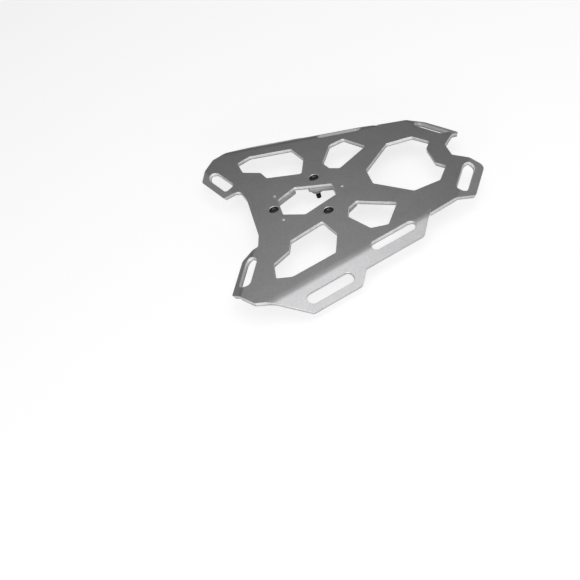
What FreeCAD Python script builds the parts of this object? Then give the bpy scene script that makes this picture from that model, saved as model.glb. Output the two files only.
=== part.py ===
"""Motorcycle luggage rack: a folded aluminium plate on two spacer bars, held by three screws.

Frame: x runs to the rear, y to the right and z up, in millimetres. The origin is on the axis of
the front screw, in the seat plane where the distance bushes meet the vehicle.
"""
import FreeCAD, Part
import math
import os

Vector = FreeCAD.Vector

# Sheet and folds
SHEET = 5.0
FOLD_ANGLE = 30.0
SIDE_FOLD_RADIUS = 18.0
LIP_FOLD_RADIUS = 10.0

# Side fold: half width abreast of the front screw, and how it closes in towards the rear
SIDE_HALF_WIDTH = 141.7
SIDE_TAPER = 15.4

# Side flange: stations along the fold from abreast of the front screw, free deck edge between the
# flange and the rear lip, and depths from the fold
FLANGE_NOSE = -4.5
FLANGE_STEP = 55.0
FLANGE_SHOULDER = 33.2
FLANGE_FRONT_DEPTH = 33.0
FLANGE_REAR_DEPTH = 19.0
FLANGE_END_SLANT = 45.0
RELIEF_WIDTH = 0.8

# Front lip: inner end of its fold, lean of the fold from the middle plane, size and end cuts
FRONT_LIP_X = -37.0
FRONT_LIP_Y = 58.4
FRONT_LIP_LEAN = 67.0
FRONT_LIP_DEPTH = 14.2
FRONT_LIP_LENGTH = 53.8
FRONT_LIP_INNER_SLANT = 39.0
FRONT_LIP_OUTER_SLANT = 30.5

# Rear lip: the same for the rear corner, placed by the rack's length between the folds
FOLD_SPAN = 267.2
REAR_LIP_X = FRONT_LIP_X + FOLD_SPAN
REAR_LIP_Y = 27.2
REAR_LIP_LEAN = 57.6
REAR_LIP_DEPTH = 19.8
REAR_LIP_LENGTH = 52.9
REAR_LIP_INNER_SLANT = 8.3
REAR_LIP_OUTER_SLANT = 40.0

# Front and rear edges between the lips, and the deck's corner between front lip and flange
FRONT_EDGE_X = -26.3
FRONT_EDGE_HALF = 37.5
FRONT_NOTCH_BACK = 5.0
REAR_EDGE_BACK = 15.0
REAR_EDGE_X = REAR_LIP_X - REAR_EDGE_BACK
REAR_EDGE_HALF = 11.7
LOBE = (-52.3, 144.8)

# Strap slots: widths, lengths, and places along and across the folds; the rear slot at the side is
# placed by its distance ahead of the flange's rear end
SIDE_SLOT_WIDTH = 12.4
SIDE_SLOT_LENGTH = 56.0
SIDE_FRONT_SLOT_AT = 24.6
SIDE_FRONT_SLOT_DROP = 18.2
SIDE_REAR_SLOT_AHEAD = 47.5
SIDE_REAR_SLOT_DROP = 1.0
LIP_SLOT_WIDTH = 15.0
FRONT_LIP_SLOT_LENGTH = 46.8
FRONT_LIP_SLOT_AT = 36.2
FRONT_LIP_SLOT_DROP = -0.9
REAR_LIP_SLOT_LENGTH = 49.4
REAR_LIP_SLOT_AT = 33.1
REAR_LIP_SLOT_DROP = 2.8
SLOT_STEPS = 4

# Front window, right: stations to the rear and half widths of its corners
FRONT_WINDOW_RIM = 18.4
FRONT_WINDOW_NOSE = (-23.4, 117.9)
FRONT_WINDOW_OUTER_X = (-5.8, 46.3)
FRONT_WINDOW_INNER = ((56.0, 80.2), (46.3, 50.7), (5.1, 65.7), (0.2, 81.2), (-20.5, 94.4))

# Middle window, right
MIDDLE_WINDOW_RIM = 16.8
MIDDLE_WINDOW_OUTER_X = 111.2
MIDDLE_WINDOW_INNER = ((131.6, 62.1), (91.2, 35.7), (79.8, 42.7), (74.7, 57.6), (92.1, 89.8))

# Centre window: front edge, widest station and rear edge, with their half widths
CENTRE_FRONT = (8.0, 15.2)
CENTRE_WIDE = (32.0, 28.5)
CENTRE_REAR = (74.3, 11.0)

# Rear window: distances ahead of the rear edge, and half widths, of its front edge, two widest
# stations and rear edge, and of the tongue that stands into it
REAR_WINDOW_FRONT = (97.3, 14.6)
REAR_WINDOW_WIDE = ((60.2, 52.5), (28.4, 49.4))
REAR_WINDOW_REAR = (13.4, 27.8)
TONGUE = (21.8, 15.7)

# Corner rounding
EDGE_CORNER = 4.0
REAR_LIP_CORNER = 8.0
LOBE_CORNER = 8.0
NOTCH_CORNER = 3.5
WINDOW_CORNER = 3.0
WIDE_CORNER = 8.0
BAR_CORNER = 4.0

# Screws: one at the front on the middle plane, two at the rear
SCREW_RADIUS = 3.0
SCREW_SHANK_RADIUS = 2.7
SCREW_LENGTH = 30.0
SCREW_HEAD_RADIUS = 6.0
SCREW_CLEARANCE = 0.3
SCREW_SINK = 0.5
SCREW_TIP_CHAMFER = 0.8
SOCKET_SIDES = 6
SOCKET_FLATS = 4.0
SOCKET_DEPTH = 2.4
REAR_SCREW_X = 58.0
REAR_SCREW_Y = 35.0

# Spacer bars under the deck; each follows the centre window on its inner side
BAR_THICKNESS = 5.0
FRONT_BAR_OUTER = ((-14.0, 45.0), (4.0, 60.0), (33.0, 49.5))
REAR_BAR_START_X = 47.0
REAR_BAR_OVERHANG = 11.0
REAR_BAR_HALF = REAR_SCREW_Y + REAR_BAR_OVERHANG
REAR_BAR_WIDE_X = 72.0
REAR_BAR_TAIL = (92.0, 32.0)

# Distance bushes between the bars and the seat plane
BUSH_HEIGHT = 10.0
BUSH_RADIUS = 7.0

# Rivets that hold the bars to the deck
RIVET_RADIUS = 2.0
RIVET_CLEARANCE = 0.05
RIVET_STAND = 0.5
RIVET_HEAD_RADIUS = 3.6
RIVET_HEAD_FLAT = 2.0
RIVET_HEAD_HEIGHT = 2.0
FRONT_RIVET_X = 6.4
FRONT_RIVET_Y = 24.4
REAR_RIVET_X = 84.3

DECK_TOP = BUSH_HEIGHT + BAR_THICKNESS + SHEET
CUT_MARGIN = 2.0
UP = Vector(0, 0, 1)


def turn(degrees):
    """Unit vector in plan, turned from the x axis."""
    angle = math.radians(degrees)
    return Vector(math.cos(angle), math.sin(angle), 0)


def mirrored(shape):
    """The same shape on the other side of the middle plane."""
    return shape.mirror(Vector(0, 0, 0), Vector(0, 1, 0))


def rounded_wire(corners, place):
    """Closed wire through (a, b, radius) corners, each rounded by its own radius."""
    ends = []
    for i, (a, b, radius) in enumerate(corners):
        point = Vector(a, b, 0)
        to_last = Vector(*corners[i - 1][:2], 0) - point
        to_next = Vector(*corners[(i + 1) % len(corners)][:2], 0) - point
        half = to_last.getAngle(to_next) / 2
        to_last.normalize()
        to_next.normalize()
        middle = to_last + to_next
        if radius > 0:
            middle.normalize()
        setback = radius / math.tan(half)
        crown = radius / math.sin(half) - radius
        ends.append((point + to_last * setback, point + middle * crown, point + to_next * setback))
    edges = []
    for i, (start, crown, stop) in enumerate(ends):
        if corners[i][2] > 0:
            edges.append(Part.Arc(*[place(p.x, p.y) for p in (start, crown, stop)]).toShape())
        following = ends[(i + 1) % len(ends)][0]
        edges.append(Part.LineSegment(place(stop.x, stop.y), place(following.x, following.y)).toShape())
    return Part.Wire(edges)


def slot_wire(along, across, length, width, place):
    """Round-ended slot that runs along the first coordinate."""
    radius = width / 2
    half = length / 2 - radius
    edges = []
    for side in (1, -1):
        start = place(along - side * half, across + side * radius)
        stop = place(along + side * half, across + side * radius)
        crown = place(along + side * (half + radius), across)
        end = place(along + side * half, across - side * radius)
        edges.append(Part.LineSegment(start, stop).toShape())
        edges.append(Part.Arc(stop, crown, end).toShape())
    return Part.Wire(edges)


def plate(wire, direction):
    """Flat piece of the given outline, extruded along the direction."""
    return Part.Face(wire).extrude(direction)


def through(wire, normal, thickness):
    """Cutter that passes right through a plate whose top face holds the wire."""
    return plate(wire.translated(normal * CUT_MARGIN), normal * -(thickness + 2 * CUT_MARGIN))


def revolved(profile):
    """Solid of revolution about the z axis through the origin, from (radius, height) points."""
    points = [Vector(radius, 0, height) for radius, height in profile]
    face = Part.Face(Part.makePolygon(points + points[:1]))
    return face.revolve(Vector(0, 0, 0), UP, 360)


def deck_point(x, y):
    """Point on the deck's top face."""
    return Vector(x, y, DECK_TOP)


def bar_point(x, y):
    """Point on the top face of the spacer bars."""
    return Vector(x, y, DECK_TOP - SHEET)


class Fold:
    """A fold line on the deck: s runs along it, w across it and away from the deck."""

    def __init__(self, x, y, along, out, radius):
        self.origin = deck_point(x, y)
        self.along = along
        self.out = out
        self.radius = radius
        self.angle = math.radians(FOLD_ANGLE)
        self.reach = radius * math.tan(self.angle / 2)
        self.down = out * math.cos(self.angle) - UP * math.sin(self.angle)
        self.normal = out * math.sin(self.angle) + UP * math.cos(self.angle)

    def on_deck(self, s, w):
        """Point in the deck's top plane."""
        return self.origin + self.along * s + self.out * w

    def on_flap(self, s, w):
        """Point in the folded flap's top plane."""
        return self.origin + self.along * s + self.down * w

    def in_bend(self, s, w, height):
        """Point in the curved strip, at a height above its top face."""
        angle = self.angle * (w + self.reach) / (2 * self.reach)
        centre = self.on_deck(s, -self.reach) - UP * self.radius
        ray = self.out * math.sin(angle) + UP * math.cos(angle)
        return centre + ray * (self.radius + height)

    def strip(self, start, stop):
        """Curved strip of sheet between two stations along the fold."""
        edges = []
        for height in (0, -SHEET):
            arc = [self.in_bend(start, w, height) for w in (-self.reach, 0, self.reach)]
            edges.append(Part.Arc(*arc).toShape())
        for w in (-self.reach, self.reach):
            ends = [self.in_bend(start, w, height) for height in (0, -SHEET)]
            edges.append(Part.LineSegment(*ends).toShape())
        face = Part.Face(Part.Wire(Part.sortEdges(edges)[0]))
        return face.extrude(self.along * (stop - start))

    def band(self, low, high, steps):
        """Solid across the curved strip, between the lines s = low(w) and s = high(w)."""
        wires = []
        for i in range(steps + 1):
            w = self.reach * (2 * i / steps - 1)
            ring = [self.in_bend(edge(w), w, CUT_MARGIN) for edge in (low, high)]
            ring += [self.in_bend(edge(w), w, -SHEET - CUT_MARGIN) for edge in (high, low)]
            wires.append(Part.makePolygon(ring + ring[:1]))
        return Part.makeLoft(wires, True, steps == 1)

    def bend(self, low, high):
        """Curved piece of sheet between two straight edges that cross the fold."""
        stations = [edge(w) for edge in (low, high) for w in (-self.reach, self.reach)]
        whole = self.strip(min(stations) - CUT_MARGIN, max(stations) + CUT_MARGIN)
        return whole.common(self.band(low, high, 1))

    def flap(self, corners):
        """Flat flap beyond the curved strip."""
        return plate(rounded_wire(corners, self.on_flap), self.normal * -SHEET)

    def deck_slot(self, along, across, length, width):
        """Cutter for a slot where it lies on the flat deck."""
        return through(slot_wire(along, across, length, width, self.on_deck), UP, SHEET)

    def flap_slot(self, along, across, length, width):
        """Cutter for a slot where it lies on the flap."""
        return through(slot_wire(along, across, length, width, self.on_flap), self.normal, SHEET)

    def bend_slot(self, along, across, length, width):
        """Cutter for a slot where it crosses the curved strip."""
        radius = width / 2

        def half(w):
            return length / 2 - radius + math.sqrt(max(radius ** 2 - (w - across) ** 2, 0))

        return self.band(lambda w: along - half(w), lambda w: along + half(w), SLOT_STEPS)


def edge_between(s_first, w_first, s_second, w_second):
    """Straight edge across a fold, as s for a given w."""
    slope = (s_second - s_first) / (w_second - w_first)
    return lambda w: s_first + slope * (w - w_first)


def edge_slanted(s, w, slant):
    """Straight edge across a fold through (s, w), slanted from square by the angle."""
    return edge_between(s, w, s + math.tan(math.radians(slant)), w + 1)


def side_y(x, inset):
    """Half width of a line parallel to the side fold, inset from it."""
    lean = math.radians(SIDE_TAPER)
    return SIDE_HALF_WIDTH - x * math.tan(lean) - inset / math.cos(lean)


def both_sides(half_corners):
    """Whole outline from the corners of its right half, listed from front to rear."""
    left = [(x, -y, radius) for x, y, radius in reversed(half_corners)]
    return half_corners + left


side_fold = Fold(0, SIDE_HALF_WIDTH, turn(-SIDE_TAPER), turn(90 - SIDE_TAPER), SIDE_FOLD_RADIUS)
front_fold = Fold(FRONT_LIP_X, FRONT_LIP_Y, turn(180 - FRONT_LIP_LEAN), turn(270 - FRONT_LIP_LEAN),
                  LIP_FOLD_RADIUS)
rear_fold = Fold(REAR_LIP_X, REAR_LIP_Y, turn(180 - REAR_LIP_LEAN), turn(90 - REAR_LIP_LEAN),
                 LIP_FOLD_RADIUS)

# Edges of the outline that cross the folds, each in its own fold's coordinates
side_curve = side_fold.reach
lip_curve = front_fold.reach
flange_front = edge_slanted(FLANGE_NOSE, FLANGE_FRONT_DEPTH, FLANGE_END_SLANT)
front_lip_inner = edge_slanted(0, 0, FRONT_LIP_INNER_SLANT)
front_lip_outer = edge_slanted(front_lip_inner(FRONT_LIP_DEPTH) + FRONT_LIP_LENGTH, FRONT_LIP_DEPTH,
                               -FRONT_LIP_OUTER_SLANT)
rear_lip_inner = edge_slanted(0, 0, REAR_LIP_INNER_SLANT)
rear_lip_outer = edge_slanted(rear_lip_inner(REAR_LIP_DEPTH) + REAR_LIP_LENGTH, REAR_LIP_DEPTH,
                              -REAR_LIP_OUTER_SLANT)
rear_corner = rear_fold.on_deck(rear_lip_outer(-lip_curve), -lip_curve)
flange_end = (rear_corner - side_fold.origin).dot(side_fold.along) - FLANGE_SHOULDER
flange_rear = edge_slanted(flange_end, 0, -FLANGE_END_SLANT)

# Strap slots as (along, across, length, width) on their folds
side_front_slot = (SIDE_FRONT_SLOT_AT, SIDE_FRONT_SLOT_DROP, SIDE_SLOT_LENGTH, SIDE_SLOT_WIDTH)
side_rear_slot = (flange_end - SIDE_REAR_SLOT_AHEAD, SIDE_REAR_SLOT_DROP, SIDE_SLOT_LENGTH,
                  SIDE_SLOT_WIDTH)
front_lip_slot = (FRONT_LIP_SLOT_AT, FRONT_LIP_SLOT_DROP, FRONT_LIP_SLOT_LENGTH, LIP_SLOT_WIDTH)
rear_lip_slot = (REAR_LIP_SLOT_AT, REAR_LIP_SLOT_DROP, REAR_LIP_SLOT_LENGTH, LIP_SLOT_WIDTH)


def half_deck():
    """Right half of the flat deck, out to where the folds begin to curve."""
    notch = front_fold.on_deck(front_lip_inner(-FRONT_NOTCH_BACK), -FRONT_NOTCH_BACK)
    corners = [(FRONT_EDGE_X, 0, 0), (FRONT_EDGE_X, FRONT_EDGE_HALF, EDGE_CORNER)]
    for point, radius in (
        (notch, NOTCH_CORNER),
        (front_fold.on_deck(front_lip_inner(-lip_curve), -lip_curve), 0),
        (front_fold.on_deck(front_lip_outer(-lip_curve), -lip_curve), 0),
        (deck_point(*LOBE), LOBE_CORNER),
        (side_fold.on_deck(flange_front(-side_curve), -side_curve), 0),
        (side_fold.on_deck(flange_rear(-side_curve), -side_curve), 0),
        (side_fold.on_deck(flange_rear(-side_curve) + RELIEF_WIDTH, -side_curve), 0),
        (side_fold.on_deck(flange_rear(0) + RELIEF_WIDTH, 0), 0),
        (rear_corner, 0),
        (rear_fold.on_deck(rear_lip_inner(-lip_curve), -lip_curve), 0),
    ):
        corners.append((point.x, point.y, radius))
    corners += [(REAR_EDGE_X, REAR_EDGE_HALF, NOTCH_CORNER), (REAR_EDGE_X, 0, 0)]
    deck = plate(rounded_wire(corners, deck_point), UP * -SHEET)
    slots = [side_fold.deck_slot(*side_rear_slot), front_fold.deck_slot(*front_lip_slot)]
    slots.append(rear_fold.deck_slot(*rear_lip_slot))
    return deck.cut(slots)


def side_flange():
    """Right flange and its fold, with one slot on the flange and one across the fold."""
    corners = [
        (flange_front(side_curve), side_curve, 0),
        (FLANGE_NOSE, FLANGE_FRONT_DEPTH, EDGE_CORNER),
        (FLANGE_STEP, FLANGE_FRONT_DEPTH, EDGE_CORNER),
        (FLANGE_STEP + FLANGE_FRONT_DEPTH - FLANGE_REAR_DEPTH, FLANGE_REAR_DEPTH, EDGE_CORNER),
        (flange_rear(FLANGE_REAR_DEPTH), FLANGE_REAR_DEPTH, EDGE_CORNER),
        (flange_rear(side_curve), side_curve, 0),
    ]
    slots = [side_fold.flap_slot(*slot) for slot in (side_front_slot, side_rear_slot)]
    flap = side_fold.flap(corners).cut(slots)
    bend = side_fold.bend(flange_front, flange_rear).cut(side_fold.bend_slot(*side_rear_slot))
    return [bend, flap]


def corner_lip(fold, inner, outer, depth, inner_corner, slot):
    """Lip folded down at a corner of the deck, with a slot across the fold."""
    corners = [
        (inner(lip_curve), lip_curve, 0),
        (inner(depth), depth, inner_corner),
        (outer(depth), depth, EDGE_CORNER),
        (outer(lip_curve), lip_curve, 0),
    ]
    flap = fold.flap(corners).cut(fold.flap_slot(*slot))
    bend = fold.bend(inner, outer).cut(fold.bend_slot(*slot))
    return [bend, flap]


def side_windows():
    """Outlines of the front and the middle window on the right."""
    front = [FRONT_WINDOW_NOSE + (WINDOW_CORNER,)]
    for x, radius in zip(FRONT_WINDOW_OUTER_X, (WIDE_CORNER, WINDOW_CORNER)):
        front.append((x, side_y(x, FRONT_WINDOW_RIM), radius))
    front += [corner + (WINDOW_CORNER,) for corner in FRONT_WINDOW_INNER]
    x = MIDDLE_WINDOW_OUTER_X
    middle = [(x, side_y(x, MIDDLE_WINDOW_RIM), WINDOW_CORNER)]
    middle += [corner + (WINDOW_CORNER,) for corner in MIDDLE_WINDOW_INNER]
    return [front, middle]


def middle_windows():
    """Outlines of the centre and the rear window."""
    centre = [corner + (WINDOW_CORNER,) for corner in (CENTRE_FRONT, CENTRE_WIDE, CENTRE_REAR)]
    rear = [REAR_WINDOW_FRONT, *REAR_WINDOW_WIDE, REAR_WINDOW_REAR, TONGUE]
    rear = [(REAR_EDGE_X - ahead, y, WINDOW_CORNER) for ahead, y in rear]
    return [both_sides(centre), both_sides(rear)]


def screw_places():
    """Plan positions of the screws by name."""
    return {
        "front": Vector(0, 0, 0),
        "rear_right": Vector(REAR_SCREW_X, REAR_SCREW_Y, 0),
        "rear_left": Vector(REAR_SCREW_X, -REAR_SCREW_Y, 0),
    }


def rivet_places():
    """Plan positions of the rivets by name."""
    return {
        "front_right": Vector(FRONT_RIVET_X, FRONT_RIVET_Y, 0),
        "front_left": Vector(FRONT_RIVET_X, -FRONT_RIVET_Y, 0),
        "rear": Vector(REAR_RIVET_X, 0, 0),
    }


def hole_cutters():
    """Countersunk screw holes and plain rivet holes, through the deck and the bars."""
    hole = SCREW_RADIUS + SCREW_CLEARANCE
    wide = SCREW_HEAD_RADIUS + SCREW_SINK + CUT_MARGIN
    top = DECK_TOP + CUT_MARGIN
    sunk = revolved([(0, top), (wide, top), (hole, top - wide + hole), (hole, 0), (0, 0)])
    plain = Part.makeCylinder(RIVET_RADIUS + RIVET_CLEARANCE, top)
    cutters = [sunk.translated(place) for place in screw_places().values()]
    cutters += [plain.translated(place) for place in rivet_places().values()]
    return cutters


def deck_plate():
    """The whole folded plate as one solid."""
    right = half_deck()
    pieces = side_flange()
    pieces += corner_lip(front_fold, front_lip_inner, front_lip_outer, FRONT_LIP_DEPTH, EDGE_CORNER,
                         front_lip_slot)
    pieces += corner_lip(rear_fold, rear_lip_inner, rear_lip_outer, REAR_LIP_DEPTH, REAR_LIP_CORNER,
                         rear_lip_slot)
    right = right.fuse(pieces)
    right = right.cut([through(rounded_wire(w, deck_point), UP, SHEET) for w in side_windows()])
    whole = right.fuse(mirrored(right))
    cutters = [through(rounded_wire(w, deck_point), UP, SHEET) for w in middle_windows()]
    return whole.cut(cutters + hole_cutters()).removeSplitter()


def bar(half_corners):
    """Spacer bar from the corners of its right half."""
    solid = plate(rounded_wire(both_sides(half_corners), bar_point), UP * -BAR_THICKNESS)
    return solid.cut(hole_cutters())


def front_spacer_bar():
    """Bar under the front screw, with arms beside the front of the centre window."""
    corners = [corner + (BAR_CORNER,) for corner in FRONT_BAR_OUTER]
    corners += [CENTRE_WIDE + (WINDOW_CORNER,), CENTRE_FRONT + (WINDOW_CORNER,)]
    return bar(corners)


def rear_spacer_bar():
    """Bar under the two rear screws, round the rear of the centre window."""
    share = (REAR_BAR_START_X - CENTRE_WIDE[0]) / (CENTRE_REAR[0] - CENTRE_WIDE[0])
    inner = CENTRE_WIDE[1] + share * (CENTRE_REAR[1] - CENTRE_WIDE[1])
    corners = [
        CENTRE_REAR + (WINDOW_CORNER,),
        (REAR_BAR_START_X, inner, WINDOW_CORNER),
        (REAR_BAR_START_X, REAR_BAR_HALF, BAR_CORNER),
        (REAR_BAR_WIDE_X, REAR_BAR_HALF, BAR_CORNER),
        REAR_BAR_TAIL + (BAR_CORNER,),
    ]
    return bar(corners)


def screw():
    """Countersunk socket screw with a waisted shank, its thread starting at the seat plane."""
    head = DECK_TOP - SCREW_SINK
    neck = head - (SCREW_HEAD_RADIUS - SCREW_SHANK_RADIUS)
    tip = head - SCREW_LENGTH
    body = revolved([
        (0, head),
        (SCREW_HEAD_RADIUS, head),
        (SCREW_SHANK_RADIUS, neck),
        (SCREW_SHANK_RADIUS, 0),
        (SCREW_RADIUS, 0),
        (SCREW_RADIUS, tip + SCREW_TIP_CHAMFER),
        (SCREW_RADIUS - SCREW_TIP_CHAMFER, tip),
        (0, tip),
    ])
    corner = SOCKET_FLATS / 2 / math.cos(math.pi / SOCKET_SIDES)
    rim = [turn(360 / SOCKET_SIDES * i) * corner + UP * head for i in range(SOCKET_SIDES)]
    socket = plate(Part.makePolygon(rim + rim[:1]), UP * -SOCKET_DEPTH)
    return body.cut(socket)


def bush():
    """Plain distance bush."""
    tube = Part.makeCylinder(BUSH_RADIUS, BUSH_HEIGHT)
    return tube.cut(Part.makeCylinder(SCREW_RADIUS + SCREW_CLEARANCE, BUSH_HEIGHT))


def rivet():
    """Solid rivet that stands a little proud of the deck, with a coned head under the bar."""
    seat = BUSH_HEIGHT
    return revolved([
        (0, DECK_TOP + RIVET_STAND),
        (RIVET_RADIUS, DECK_TOP + RIVET_STAND),
        (RIVET_RADIUS, seat),
        (RIVET_HEAD_RADIUS, seat),
        (RIVET_HEAD_FLAT, seat - RIVET_HEAD_HEIGHT),
        (0, seat - RIVET_HEAD_HEIGHT),
    ])


os.makedirs("parts", exist_ok=True)
nodes = {
    "deck_plate": deck_plate(),
    "front_spacer_bar": front_spacer_bar(),
    "rear_spacer_bar": rear_spacer_bar(),
}
for name, place in screw_places().items():
    nodes["screw_" + name] = screw().translated(place)
    nodes["bush_" + name] = bush().translated(place)
for name, place in rivet_places().items():
    nodes["rivet_" + name] = rivet().translated(place)
for name, shape in nodes.items():
    shape.exportStep(f"parts/{name}.step")
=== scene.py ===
"""Looks of the motorcycle luggage rack: finishes, turned fasteners, edge breaks, floor, light, camera."""
import bpy
import math
from mathutils import Matrix, Vector


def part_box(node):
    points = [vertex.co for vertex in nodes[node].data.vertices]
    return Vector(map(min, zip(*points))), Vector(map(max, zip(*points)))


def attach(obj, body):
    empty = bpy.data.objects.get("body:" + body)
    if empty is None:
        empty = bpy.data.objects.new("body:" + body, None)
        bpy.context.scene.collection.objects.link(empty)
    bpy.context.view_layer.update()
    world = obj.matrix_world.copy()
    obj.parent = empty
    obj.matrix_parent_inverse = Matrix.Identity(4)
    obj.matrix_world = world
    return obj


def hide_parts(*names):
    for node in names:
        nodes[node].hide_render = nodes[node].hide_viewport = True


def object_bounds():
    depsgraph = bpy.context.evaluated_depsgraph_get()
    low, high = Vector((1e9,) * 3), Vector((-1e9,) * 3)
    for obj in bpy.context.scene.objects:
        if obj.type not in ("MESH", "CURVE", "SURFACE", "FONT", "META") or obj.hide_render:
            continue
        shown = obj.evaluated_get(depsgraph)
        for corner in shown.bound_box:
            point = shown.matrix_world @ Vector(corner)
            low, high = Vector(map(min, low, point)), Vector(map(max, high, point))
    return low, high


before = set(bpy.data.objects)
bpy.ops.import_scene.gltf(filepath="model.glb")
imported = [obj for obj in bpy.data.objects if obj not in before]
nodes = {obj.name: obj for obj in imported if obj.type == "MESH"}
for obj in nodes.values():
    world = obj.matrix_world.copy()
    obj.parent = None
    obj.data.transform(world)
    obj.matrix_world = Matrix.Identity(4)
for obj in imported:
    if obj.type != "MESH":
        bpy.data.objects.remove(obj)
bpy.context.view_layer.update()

# Camera: place, right and forward directions, focal length in image pixels, and near limit
CAMERA_AT = Vector((-0.01589, -0.80321, 0.60647))
CAMERA_RIGHT = Vector((0.94551, -0.21812, -0.24173))
CAMERA_FORWARD = Vector((0.00321, 0.74762, -0.66412))
FOCAL_PIXELS = 850.0
IMAGE_PIXELS = 580.0
SENSOR_MM = 36.0
CAMERA_NEAR = 0.01

# The sheet, in metres and degrees: its thickness, fold angle, each fold on the right half as a point
# on it and the heading in which its flap leaves the deck, and how far before the fold the bend starts
SHEET = 0.005
FOLD_ANGLE = 30.0
FOLDS = (
    ((0.0, 0.1417), 90 - 15.4),
    ((-0.0370, 0.0584), 270 - 67.0),
    ((0.2302, 0.0272), 90 - 57.6),
)
FOLD_REACH = 0.005

# Edge breaks of the sheet and the bars, on edges sharper than an angle
EDGE_BREAK = 0.00035
BAR_EDGE_BREAK = 0.0008
EDGE_BREAK_FROM = 38.0
BREAK_SEGMENTS = 3
WELD_WITHIN = 0.00001

# Share of a noise's range that is used, either side of its middle
NARROW = 0.20
MIDDLE = 0.25
WIDE = 0.30

# Skin of the plate: grey level, tint and roughness, each noise by its scale per metre, where need be
# with detail and roughness, and its swing of the level
SKIN_LEVEL = 0.60
PLATE_TINT = (1.0, 1.0, 1.015)
SKIN_ROUGH = (0.40, 0.48)
MOTTLE_NOISE = (42.0, 4.0, 0.55)
MOTTLE_SWING = 0.015
BLAST_SCALE = 480.0
BLAST_SWING = 0.032
GRAIN_SCALE = 2600.0
GRAIN_SWING = 0.03
GRAIN_RELIEF = 0.000012

# Cut edges of the plate: level at depths through the sheet, from 0 at the top, and streaks drawn
# out downwards. The darkest level, next to the bottom, is painted shade of the gap between the plate and
# the bars, laid along every bottom edge
CUT_ZONES_AND_SEAM_SHADE = ((0.00, 0.95), (0.60, 0.96), (0.70, 0.66), (0.84, 0.72), (0.93, 0.42))
CUT_ROUGH = (0.64, 0.74)
STREAK_NOISE = (1500.0, 2.0)
STREAK_STRETCH = (1.0, 1.0, 0.06)
STREAK_LEVEL = (0.90, 1.06)
STREAK_RELIEF = 0.00003

# Worn edge break of the plate: level, roughness, and which part of the blast noise wears it
WORN_LEVEL = 0.80
WORN_ROUGH = 0.36
WORN_BLAST = (0.35, 0.60)
WORN_SHARE = (0.3, 1.0)

# Flatness, which is 1 on the skin and 0 on a cut edge, where the cut edge goes over into the skin
# and where the edge break begins and ends
CUT_FLATNESS = (0.45, 0.75)
BREAK_BEGINS = (0.55, 0.65)
BREAK_ENDS = (0.86, 0.95)

# Plain metals: colour, roughness, scale of the grain per metre, its depth, and stretch along each axis
BAR_METAL = ((0.78, 0.78, 0.79), 0.60, 900.0, 0.00001, (1.0, 0.15, 1.0))
BUSH_METAL = ((0.62, 0.63, 0.64), 0.28, 2500.0, 0.000006, (0.1, 0.1, 1.0))
RIVET_METAL = ((0.92, 0.92, 0.92), 0.48, 1800.0, 0.000006, (1.0, 1.0, 1.0))
METAL_GRAIN_LEVEL = (0.9, 1.1)
METAL_CLOUD_NOISE = (60.0, 3.0, 0.5)
METAL_CLOUD_LEVEL = (0.92, 1.08)
METAL_SMOOTHER = 0.05
METAL_ROUGHER = 0.06

# Finish of the screws: black outside, rubbed bright on the walls of the socket
BLACK_LEVEL = (0.05, 0.09)
BLACK_ROUGH = (0.30, 0.42)
BLACK_TINT = (1.0, 1.0, 1.04)
BLACK_GRAIN_SCALE = 1800.0
BLACK_GRAIN_RELIEF = 0.00001
RUBBED_LEVEL = 0.62
RUBBED_ROUGH = 0.30
RUBBED_GRAIN = (0.3, 0.6)
RUBBED_SHARE = (0.4, 1.0)
SOCKET_WALL_TILT = (0.75, 0.95)

# Screws: seat plane, shank, thread with the flat share of its pitch at crest and at root, socket
# with its drilled bottom, and edge break
SEAT = 0.0
SHANK_RADIUS = 0.0027
THREAD_RADIUS = 0.0030
THREAD_PITCH = 0.0010
THREAD_DEPTH = 0.0006
THREAD_FLAT = 0.12
THREAD_RINGS = 10
TIP_CHAMFER = 0.0008
SOCKET_FLATS = 0.0040
SOCKET_DEPTH = 0.0024
DRILL_RADIUS = 0.42 * SOCKET_FLATS
DRILL_POINT = 0.05 * SOCKET_FLATS
DRILL_DEPTH = 0.0006
SCREW_BREAK = 0.00015

# Bushes and rivets
BORE_RADIUS = 0.0033
BUSH_BREAK = 0.0004
RIVET_RADIUS = 0.0020
RIVET_STAND = 0.0005
DOME_RINGS = 6
ROUND_STEPS = 48
SHARP_FROM = 35.0

# Floor: half its side, gap under the object, grey level, and glow to the camera and in reflections
FLOOR_HALF = 6.0
FLOOR_DROP = 0.0002
FLOOR_LEVEL = 0.42
FLOOR_ROUGH = 0.9
FLOOR_GLOW = 0.75
FLOOR_GLOSS = 0.12

# Light: level of the room, glow of its two ends and how much more the front end has, and lamps as
# place, target, width, height and power
ROOM_LIGHT = 0.06
END_LIGHT = 0.50
END_BIAS = 0.15
LAMPS = {
    "overhead": ((0.30, -0.45, 1.25), (0.08, -0.10, 0.0), 1.1, 1.1, 5.4),
    "front_low": ((-0.15, -1.60, 0.26), (0.08, 0.00, 0.0), 1.8, 0.4, 18.5),
    "front_high": ((-0.05, -1.05, 1.15), (0.08, 0.00, 0.0), 1.6, 0.6, 1.6),
    "back": ((0.05, 0.71, 1.12), (0.05, -0.05, 0.0), 0.6, 0.6, 0.9),
}
WHITE = (1.0, 1.0, 1.0, 1.0)


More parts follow.
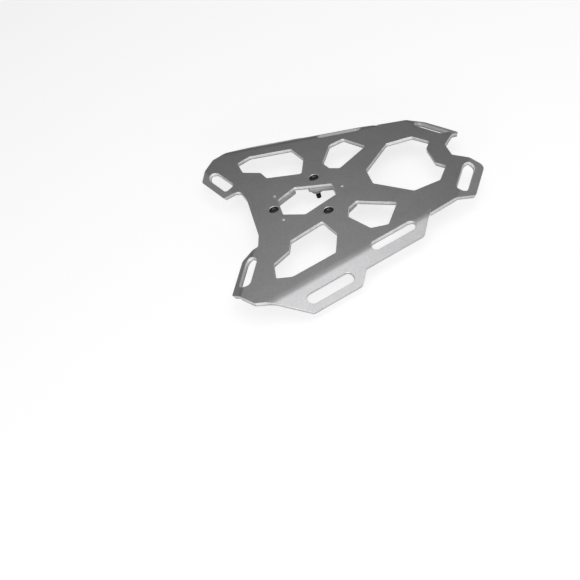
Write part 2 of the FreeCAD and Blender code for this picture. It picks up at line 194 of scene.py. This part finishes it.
class Shader:
    """Small helper that adds nodes to one material and links them."""

    def __init__(self, name):
        self.material = bpy.data.materials.new(name)
        self.material.use_nodes = True
        self.tree = self.material.node_tree
        self.surface = self.tree.nodes["Principled BSDF"]

    def put(self, socket, value):
        """Links a socket into an input, or sets the input's own value."""
        if isinstance(value, bpy.types.NodeSocket):
            self.tree.links.new(value, socket)
        else:
            socket.default_value = value

    def add(self, kind, inputs=(), **settings):
        """New node with its settings and its first inputs."""
        node = self.tree.nodes.new(kind)
        for key, value in settings.items():
            setattr(node, key, value)
        for i, value in enumerate(inputs):
            self.put(node.inputs[i], value)
        return node

    def math(self, operation, *inputs):
        """Scalar result of a math node."""
        return self.add("ShaderNodeMath", inputs, operation=operation).outputs[0]

    def dot(self, vector, other):
        """Dot product of a vector socket and a vector."""
        return self.add("ShaderNodeVectorMath", (vector, other), operation="DOT_PRODUCT").outputs["Value"]

    def scaled(self, vector, factors):
        """Vector multiplied part by part."""
        return self.add("ShaderNodeVectorMath", (vector, factors), operation="MULTIPLY").outputs[0]

    def split(self, vector):
        """The three parts of a vector."""
        return self.add("ShaderNodeSeparateXYZ", (vector,)).outputs

    def joined(self, *parts):
        """Vector from its three parts."""
        return self.add("ShaderNodeCombineXYZ", parts).outputs[0]

    def noise(self, vector, scale, detail=3.0, roughness=0.6):
        """Noise value from 0 to 1."""
        node = self.add("ShaderNodeTexNoise")
        self.put(node.inputs["Vector"], vector)
        node.inputs["Scale"].default_value = scale
        node.inputs["Detail"].default_value = detail
        node.inputs["Roughness"].default_value = roughness
        return node.outputs["Fac"]

    def remap(self, value, low, high, to_low, to_high):
        """Value mapped smoothly from one range to another, and held at the ends."""
        node = self.add("ShaderNodeMapRange", interpolation_type="SMOOTHSTEP")
        for i, item in enumerate((value, low, high, to_low, to_high)):
            self.put(node.inputs[i], item)
        return node.outputs[0]

    def vary(self, noise, reach, low, high):
        """Noise within a reach of its middle, mapped to a range."""
        return self.remap(noise, 0.5 - reach, 0.5 + reach, low, high)

    def ramp(self, value, stops):
        """Grey level from (position, level) stops."""
        node = self.add("ShaderNodeValToRGB", (value,))
        elements = node.color_ramp.elements
        while len(elements) < len(stops):
            elements.new(0.5)
        for element, (position, level) in zip(elements, stops):
            element.position = position
            element.color = (level, level, level, 1.0)
        return node.outputs[0]

    def mix(self, factor, first, second):
        """Blend of two values."""
        node = self.add("ShaderNodeMix", data_type="FLOAT")
        for key, item in ((0, factor), (2, first), (3, second)):
            self.put(node.inputs[key], item)
        return node.outputs[0]

    def tinted(self, level, colour):
        """Colour multiplied by a level."""
        node = self.add("ShaderNodeVectorMath", (colour,), operation="SCALE")
        self.put(node.inputs["Scale"], level)
        return node.outputs[0]

    def bump(self, height):
        """Surface normal bent by a height in metres."""
        node = self.add("ShaderNodeBump")
        node.inputs["Strength"].default_value = 1.0
        node.inputs["Distance"].default_value = 1.0
        self.put(node.inputs["Height"], height)
        return node.outputs[0]

    def place(self):
        """Point on the object, in metres."""
        return self.add("ShaderNodeTexCoord").outputs["Object"]

    def facing(self):
        """Direction of the face itself, before smoothing."""
        return self.add("ShaderNodeNewGeometry").outputs["True Normal"]

    def finish(self, **inputs):
        """Sets the surface's inputs by name and gives the material."""
        for key, value in inputs.items():
            self.put(self.surface.inputs[key.replace("_", " ")], value)
        return self.material


def heading(degrees):
    """Unit vector in plan, turned from the x axis."""
    angle = math.radians(degrees)
    return Vector((math.cos(angle), math.sin(angle), 0))


def plate_material(deck_top):
    """Blasted sheet, with rougher cut edges that show the bands of the cut and painted shade along their
    bottom, and a worn edge break.
    """
    s = Shader("plate_satin")
    place = s.place()
    x, y, z = s.split(place)
    half = s.joined(x, s.math("ABSOLUTE", y), z)
    mirror = s.joined(1.0, s.math("SIGN", y), 1.0)
    facing = s.scaled(s.facing(), mirror)
    up = Vector((0, 0, 1))
    depth = s.math("SUBTRACT", deck_top, z)
    flatness = s.math("ABSOLUTE", s.dot(facing, up))
    tilt = math.radians(FOLD_ANGLE)
    for (fold_x, fold_y), leaves in FOLDS:
        out = heading(leaves)
        normal = out * math.sin(tilt) + up * math.cos(tilt)
        at = Vector((fold_x, fold_y, deck_top))
        below = s.math("SUBTRACT", normal.dot(at), s.dot(half, normal))
        depth = s.math("MINIMUM", depth, below)
        beyond = s.math("GREATER_THAN", s.dot(half, out), out.dot(at) - FOLD_REACH)
        along = s.math("MULTIPLY", s.math("ABSOLUTE", s.dot(facing, normal)), beyond)
        flatness = s.math("MAXIMUM", flatness, along)
    wall = s.remap(flatness, *CUT_FLATNESS, 1.0, 0.0)
    begun = s.remap(flatness, *BREAK_BEGINS, 0.0, 1.0)
    broken = s.math("MULTIPLY", begun, s.remap(flatness, *BREAK_ENDS, 1.0, 0.0))

    grain = s.noise(place, GRAIN_SCALE)
    blast = s.noise(place, BLAST_SCALE)
    mottle = s.noise(place, *MOTTLE_NOISE)
    tone = s.math("ADD", s.vary(mottle, NARROW, -MOTTLE_SWING, MOTTLE_SWING),
                  s.vary(blast, NARROW, -BLAST_SWING, BLAST_SWING))
    tone = s.math("ADD", tone, s.vary(grain, MIDDLE, -GRAIN_SWING, GRAIN_SWING))
    skin = s.math("ADD", SKIN_LEVEL, tone)

    streak = s.noise(s.scaled(place, STREAK_STRETCH), *STREAK_NOISE)
    # levels of the cut by depth; the darkest level, near the bottom, is painted shade of the gap under the
    # plate
    zones_and_shade = s.ramp(s.math("DIVIDE", depth, SHEET), CUT_ZONES_AND_SEAM_SHADE)
    cut = s.math("MULTIPLY", zones_and_shade, s.vary(streak, NARROW, *STREAK_LEVEL))
    wear = s.math("MULTIPLY", broken, s.remap(blast, *WORN_BLAST, *WORN_SHARE))
    level = s.mix(wear, s.mix(wall, skin, cut), WORN_LEVEL)
    rough = s.mix(wall, s.vary(grain, WIDE, *SKIN_ROUGH), s.vary(streak, NARROW, *CUT_ROUGH))
    rough = s.mix(wear, rough, WORN_ROUGH)
    relief = s.mix(wall, s.math("MULTIPLY", grain, GRAIN_RELIEF), s.math("MULTIPLY", streak, STREAK_RELIEF))
    return s.finish(Base_Color=s.tinted(level, PLATE_TINT), Metallic=1.0, Roughness=rough,
                    Normal=s.bump(relief))


def metal_material(name, colour, rough, grain_scale, grain_depth, stretch):
    """Plain metal with fine grain, drawn out where the stretch is below 1, and slightly uneven tone."""
    s = Shader(name)
    grain = s.noise(s.scaled(s.place(), stretch), grain_scale)
    cloud = s.noise(s.place(), *METAL_CLOUD_NOISE)
    shade = s.math("MULTIPLY", s.vary(grain, MIDDLE, *METAL_GRAIN_LEVEL),
                   s.vary(cloud, NARROW, *METAL_CLOUD_LEVEL))
    roughness = s.vary(grain, WIDE, rough - METAL_SMOOTHER, rough + METAL_ROUGHER)
    relief = s.math("MULTIPLY", grain, grain_depth)
    return s.finish(Base_Color=s.tinted(shade, colour), Metallic=1.0, Roughness=roughness,
                    Normal=s.bump(relief))


def screw_material(head):
    """Blackened steel, rubbed bright inside the socket by the key."""
    s = Shader("screw_black")
    place = s.place()
    height = s.split(place)[2]
    upward = s.split(s.facing())[2]
    upright = s.remap(s.math("ABSOLUTE", upward), *SOCKET_WALL_TILT, 1.0, 0.0)
    inside = s.math("MULTIPLY", upright, s.math("GREATER_THAN", height, head - SOCKET_DEPTH - DRILL_DEPTH))
    grain = s.noise(place, BLACK_GRAIN_SCALE)
    rub = s.math("MULTIPLY", inside, s.remap(grain, *RUBBED_GRAIN, *RUBBED_SHARE))
    level = s.mix(rub, s.vary(grain, NARROW, *BLACK_LEVEL), RUBBED_LEVEL)
    rough = s.mix(rub, s.vary(grain, WIDE, *BLACK_ROUGH), RUBBED_ROUGH)
    return s.finish(Base_Color=s.tinted(level, BLACK_TINT), Metallic=1.0, Roughness=rough,
                    Normal=s.bump(s.math("MULTIPLY", grain, BLACK_GRAIN_RELIEF)))


def break_edges(obj, width):
    """Small rounded edge break on a CAD node, with even shading on its flats and bends."""
    weld = obj.modifiers.new("join_faces", "WELD")
    weld.merge_threshold = WELD_WITHIN
    bevel = obj.modifiers.new("edge_break", "BEVEL")
    bevel.width = width
    bevel.segments = BREAK_SEGMENTS
    bevel.limit_method = "ANGLE"
    bevel.angle_limit = math.radians(EDGE_BREAK_FROM)
    bevel.use_clamp_overlap = False
    bevel.loop_slide = False
    bevel.face_strength_mode = "FSTR_ALL"
    shading = obj.modifiers.new("even_shading", "WEIGHTED_NORMAL")
    shading.keep_sharp = False
    shading.use_face_influence = True


def paint(names, material):
    """Gives CAD nodes one material."""
    for name in names:
        nodes[name].data.materials.clear()
        nodes[name].data.materials.append(material)


def hexagon(flats):
    """Radius of a hexagon's outline, as a function of the angle."""
    return lambda angle: flats / 2 / math.cos(angle % (math.pi / 3) - math.pi / 6)


def thread(height, limit):
    """Radius of the thread at a height, as a function of the angle, held under a limit."""
    def radius(angle):
        turn = (height / THREAD_PITCH - angle / (2 * math.pi)) % 1
        groove = (abs(2 * turn - 1) - THREAD_FLAT) / (1 - 2 * THREAD_FLAT)
        return min(THREAD_RADIUS - THREAD_DEPTH * min(max(groove, 0), 1), limit)
    return radius


def turned(node, rings, material, closed=False):
    """Turned piece that stands for a CAD node, from (radius, height) rings about its axis.

    The rings run outwards over the top, down the outside and in again below. A radius may be a
    function of the angle. A closed profile joins the last ring to the first, and an open one is capped.
    """
    low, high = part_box(node)
    centre = (low + high) / 2
    corners = []
    for radius, height in rings:
        for i in range(ROUND_STEPS):
            angle = 2 * math.pi * i / ROUND_STEPS
            reach = radius(angle) if callable(radius) else radius
            corners.append((centre.x + reach * math.cos(angle), centre.y + reach * math.sin(angle), height))
    faces = []
    count = len(rings)
    for j in range(count if closed else count - 1):
        this = j * ROUND_STEPS
        following = (j + 1) % count * ROUND_STEPS
        for i in range(ROUND_STEPS):
            k = (i + 1) % ROUND_STEPS
            faces.append((this + i, following + i, following + k, this + k))
    if not closed:
        faces.append(tuple(range(ROUND_STEPS)))
        faces.append(tuple(reversed(range((count - 1) * ROUND_STEPS, count * ROUND_STEPS))))
    mesh = bpy.data.meshes.new(node + "_turned")
    mesh.from_pydata(corners, [], faces)
    mesh.shade_smooth()
    mesh.set_sharp_from_angle(angle=math.radians(SHARP_FROM))
    mesh.materials.append(material)
    piece = bpy.data.objects.new(node + "_turned", mesh)
    bpy.context.collection.objects.link(piece)
    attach(piece, "root")
    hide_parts(node)


def dome(radius, base, height):
    """Rings of a low dome, from near its crown out to its base."""
    angles = [math.pi / 2 * (i + 1) / DOME_RINGS for i in range(DOME_RINGS)]
    return [(radius * math.sin(a), base + height * math.cos(a)) for a in angles]


def make_screw(node, material):
    """Socket screw with a threaded end."""
    low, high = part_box(node)
    head, tip = high.z, low.z
    reach = (high.x - low.x) / 2
    rings = [
        (DRILL_POINT, head - SOCKET_DEPTH - DRILL_DEPTH),
        (DRILL_RADIUS, head - SOCKET_DEPTH),
        (hexagon(SOCKET_FLATS), head - SOCKET_DEPTH),
        (hexagon(SOCKET_FLATS), head - SCREW_BREAK),
        (hexagon(SOCKET_FLATS + 2 * SCREW_BREAK), head),
        (reach - 3 * SCREW_BREAK, head),
        (reach - SCREW_BREAK, head - SCREW_BREAK),
        (SHANK_RADIUS, head - reach + SHANK_RADIUS),
        (SHANK_RADIUS, SEAT),
    ]
    steps = round((SEAT - tip) / THREAD_PITCH * THREAD_RINGS)
    for i in range(steps + 1):
        height = SEAT + (tip - SEAT) * i / steps
        rings.append((thread(height, THREAD_RADIUS - TIP_CHAMFER + height - tip), height))
    turned(node, rings, material)


def make_bush(node, material):
    """Distance bush with broken edges."""
    low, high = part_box(node)
    outer = (high.x - low.x) / 2
    rings = [
        (outer - BUSH_BREAK, high.z),
        (outer, high.z - BUSH_BREAK),
        (outer, low.z + BUSH_BREAK),
        (outer - BUSH_BREAK, low.z),
        (BORE_RADIUS + BUSH_BREAK, low.z),
        (BORE_RADIUS, low.z + BUSH_BREAK),
        (BORE_RADIUS, high.z - BUSH_BREAK),
        (BORE_RADIUS + BUSH_BREAK, high.z),
    ]
    turned(node, rings, material, closed=True)


def make_rivet(node, material, under_bar):
    """Set rivet with a low crown and a round head under the bar."""
    low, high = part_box(node)
    reach = (high.x - low.x) / 2
    rings = dome(RIVET_RADIUS, high.z - RIVET_STAND, RIVET_STAND)
    rings.append((RIVET_RADIUS, under_bar))
    rings += dome(reach, under_bar, low.z - under_bar)[::-1]
    turned(node, rings, material)


def make_floor():
    """Pale floor that reads as white to the camera, shows in reflections, and keeps the shadow."""
    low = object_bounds()[0].z - FLOOR_DROP
    mesh = bpy.data.meshes.new("floor")
    corners = [(x * FLOOR_HALF, y * FLOOR_HALF, low) for x, y in ((-1, -1), (1, -1), (1, 1), (-1, 1))]
    mesh.from_pydata(corners, [], [(0, 1, 2, 3)])
    floor = bpy.data.objects.new("floor", mesh)
    bpy.context.collection.objects.link(floor)
    s = Shader("floor_pale")
    path = s.add("ShaderNodeLightPath").outputs
    glow = s.math("ADD", s.math("MULTIPLY", path["Is Camera Ray"], FLOOR_GLOW),
                  s.math("MULTIPLY", path["Is Glossy Ray"], FLOOR_GLOSS))
    mesh.materials.append(s.finish(
        Base_Color=(FLOOR_LEVEL, FLOOR_LEVEL, FLOOR_LEVEL, 1.0), Roughness=FLOOR_ROUGH,
        Specular_IOR_Level=0.0, Emission_Color=WHITE, Emission_Strength=glow))


def make_world():
    """Even room with brighter ends before and behind the object; white where the camera sees it."""
    world = bpy.data.worlds.new("studio")
    bpy.context.scene.world = world
    world.use_nodes = True
    tree = world.node_tree
    add = tree.nodes.new
    link = tree.links.new
    way = add("ShaderNodeSeparateXYZ")
    link(add("ShaderNodeTexCoord").outputs["Generated"], way.inputs[0])
    rearward = way.outputs[0]
    seen = add("ShaderNodeLightPath").outputs["Is Camera Ray"]
    steps = (
        ("MULTIPLY", -END_BIAS),
        ("ADD", END_LIGHT),
        ("MULTIPLY", rearward),
        ("MULTIPLY", rearward),
        ("ADD", ROOM_LIGHT),
        ("MAXIMUM", seen),
    )
    level = rearward
    for operation, other in steps:
        node = add("ShaderNodeMath")
        node.operation = operation
        link(level, node.inputs[0])
        if isinstance(other, float):
            node.inputs[1].default_value = other
        else:
            link(other, node.inputs[1])
        level = node.outputs[0]
    link(level, tree.nodes["Background"].inputs["Strength"])
    tree.nodes["Background"].inputs["Color"].default_value = WHITE


def make_lamp(name, at, target, width, height, power):
    """Soft lamp that faces a point."""
    data = bpy.data.lights.new(name, "AREA")
    data.shape = "RECTANGLE"
    data.size = width
    data.size_y = height
    data.energy = power
    lamp = bpy.data.objects.new(name, data)
    lamp.location = at
    lamp.rotation_euler = (Vector(target) - Vector(at)).to_track_quat("-Z", "Y").to_euler()
    bpy.context.collection.objects.link(lamp)


def make_camera():
    """Camera at the photograph's viewpoint."""
    data = bpy.data.cameras.new("camera")
    data.sensor_width = SENSOR_MM
    data.lens = SENSOR_MM * FOCAL_PIXELS / IMAGE_PIXELS
    data.clip_start = CAMERA_NEAR
    camera = bpy.data.objects.new("camera", data)
    back = -CAMERA_FORWARD.normalized()
    up = back.cross(CAMERA_RIGHT).normalized()
    right = up.cross(back)
    turn = Matrix((right, up, back)).transposed()
    camera.matrix_world = Matrix.Translation(CAMERA_AT) @ turn.to_4x4()
    bpy.context.collection.objects.link(camera)
    bpy.context.scene.camera = camera


bars = ["front_spacer_bar", "rear_spacer_bar"]
bar_low, bar_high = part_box(bars[0])
paint(["deck_plate"], plate_material(bar_high.z + SHEET))
paint(bars, metal_material("bar_milled", *BAR_METAL))
break_edges(nodes["deck_plate"], EDGE_BREAK)
for name in bars:
    break_edges(nodes[name], BAR_EDGE_BREAK)

black = screw_material(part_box("screw_front")[1].z)
zinc = metal_material("bush_zinc", *BUSH_METAL)
bright = metal_material("rivet_bright", *RIVET_METAL)
for name in list(nodes):
    if name.startswith("screw_"):
        make_screw(name, black)
    elif name.startswith("bush_"):
        make_bush(name, zinc)
    elif name.startswith("rivet_"):
        make_rivet(name, bright, bar_low.z)

make_floor()
make_world()
for name, lamp in LAMPS.items():
    make_lamp(name, *lamp)
make_camera()
bpy.context.scene.view_settings.view_transform = "Standard"
